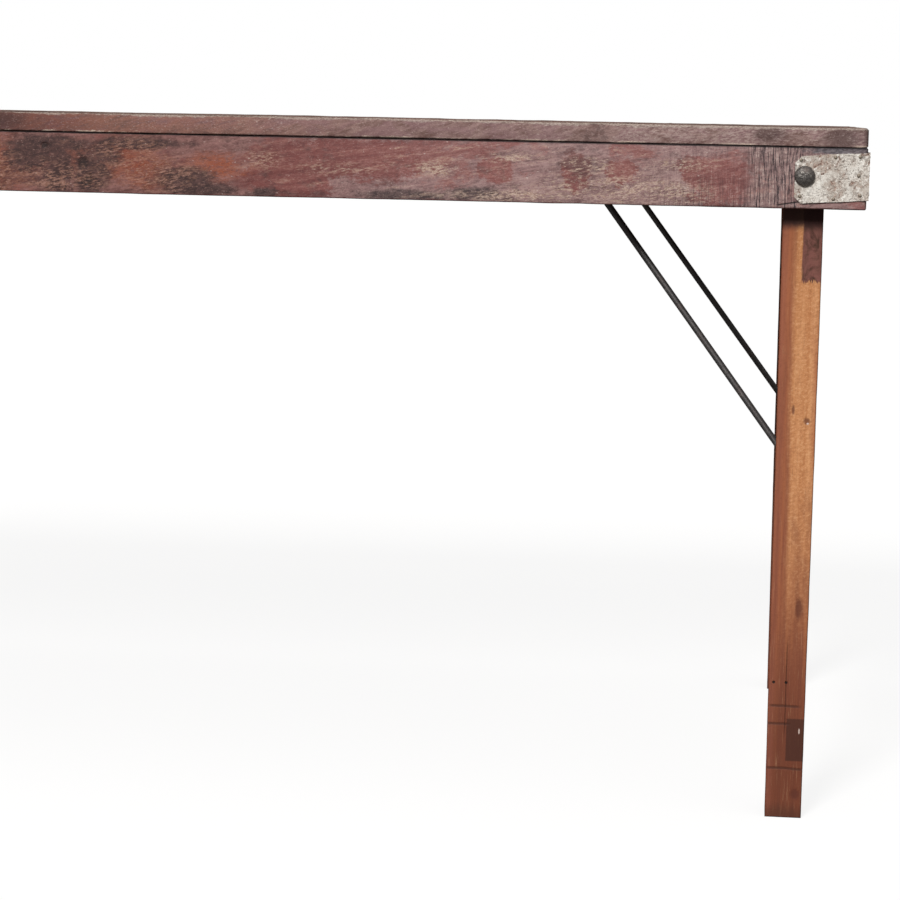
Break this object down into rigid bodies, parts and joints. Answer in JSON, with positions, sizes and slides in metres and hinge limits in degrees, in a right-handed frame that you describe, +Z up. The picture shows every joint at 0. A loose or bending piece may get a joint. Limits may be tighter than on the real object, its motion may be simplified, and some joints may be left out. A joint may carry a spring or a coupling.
{
  "type": "folding table",
  "caption": "Long rustic wooden folding table with plank top, worn painted aprons, bolted folding legs, swinging iron bar braces and sheet corner plates.",
  "frame": {"origin": "middle of the footprint, on the floor", "axes": "+X along the length, -Y to the front, +Z up"},
  "size_m": [2.0046, 0.8182, 0.76],
  "materials": {
    "top_boards": "worn, greyed planks",
    "apron_paint": "faded and worn dull red paint",
    "leg_wood": "orange-brown stained wood, scratched",
    "bare_wood": "bare sawn softwood",
    "cream_paint": "chipped cream paint with rust spots",
    "dark_iron": "dark hammered iron",
    "plain_iron": "dull worn iron"
  },
  "bodies": {
    "table_top": {"top_board_1": "top_boards", "top_board_2": "top_boards", "top_board_3": "top_boards", "top_board_4": "top_boards", "top_board_5": "top_boards", "front_apron": "apron_paint", "back_apron": "apron_paint", "right_end_rail": "apron_paint", "right_end_batten": "bare_wood", "right_middle_batten": "bare_wood", "right_front_bolt": "dark_iron", "right_front_corner_plate": "cream_paint", "right_front_spacer": "plain_iron", "right_front_washer": "plain_iron", "right_front_nut": "plain_iron", "right_front_strap": "plain_iron", "right_back_bolt": "dark_iron", "right_back_corner_plate": "cream_paint", "right_back_spacer": "plain_iron", "right_back_washer": "plain_iron", "right_back_nut": "plain_iron", "right_back_strap": "plain_iron", "left_end_rail": "apron_paint", "left_end_batten": "bare_wood", "left_middle_batten": "bare_wood", "left_front_bolt": "dark_iron", "left_front_corner_plate": "cream_paint", "left_front_spacer": "plain_iron", "left_front_washer": "plain_iron", "left_front_nut": "plain_iron", "left_front_strap": "plain_iron", "left_back_bolt": "dark_iron", "left_back_corner_plate": "cream_paint", "left_back_spacer": "plain_iron", "left_back_washer": "plain_iron", "left_back_nut": "plain_iron", "left_back_strap": "plain_iron"},
    "right_leg_frame": {"right_upper_rail": "leg_wood", "right_stretcher": "leg_wood", "right_front_leg": "leg_wood", "right_front_socket_plate": "plain_iron", "right_back_leg": "leg_wood", "right_back_socket_plate": "plain_iron"},
    "right_brace": {"right_brace": "dark_iron"},
    "left_leg_frame": {"left_upper_rail": "leg_wood", "left_stretcher": "leg_wood", "left_front_leg": "leg_wood", "left_front_socket_plate": "plain_iron", "left_back_leg": "leg_wood", "left_back_socket_plate": "plain_iron"},
    "left_brace": {"left_brace": "dark_iron"}
  },
  "joints": [
    {"name": "right_leg_fold", "type": "hinge", "parent": "table_top", "child": "right_leg_frame", "pos_m": [0.934, 0, 0.708], "axis": [0, 1, 0], "range_deg": [0, 90]},
    {"name": "right_brace_swing", "type": "hinge", "parent": "table_top", "child": "right_brace", "pos_m": [0.67, 0, 0.7345], "axis": [0, 1, 0], "range_deg": [0, 126]},
    {"name": "left_leg_fold", "type": "hinge", "parent": "table_top", "child": "left_leg_frame", "pos_m": [-0.934, 0, 0.708], "axis": [0, -1, 0], "range_deg": [0, 90]},
    {"name": "left_brace_swing", "type": "hinge", "parent": "table_top", "child": "left_brace", "pos_m": [-0.67, 0, 0.7345], "axis": [0, -1, 0], "range_deg": [0, 126]}
  ],
  "couplings": [
    {"joint": "right_brace_swing", "follows": "right_leg_fold", "ratio": 1.4},
    {"joint": "left_brace_swing", "follows": "left_leg_fold", "ratio": 1.4}
  ]
}
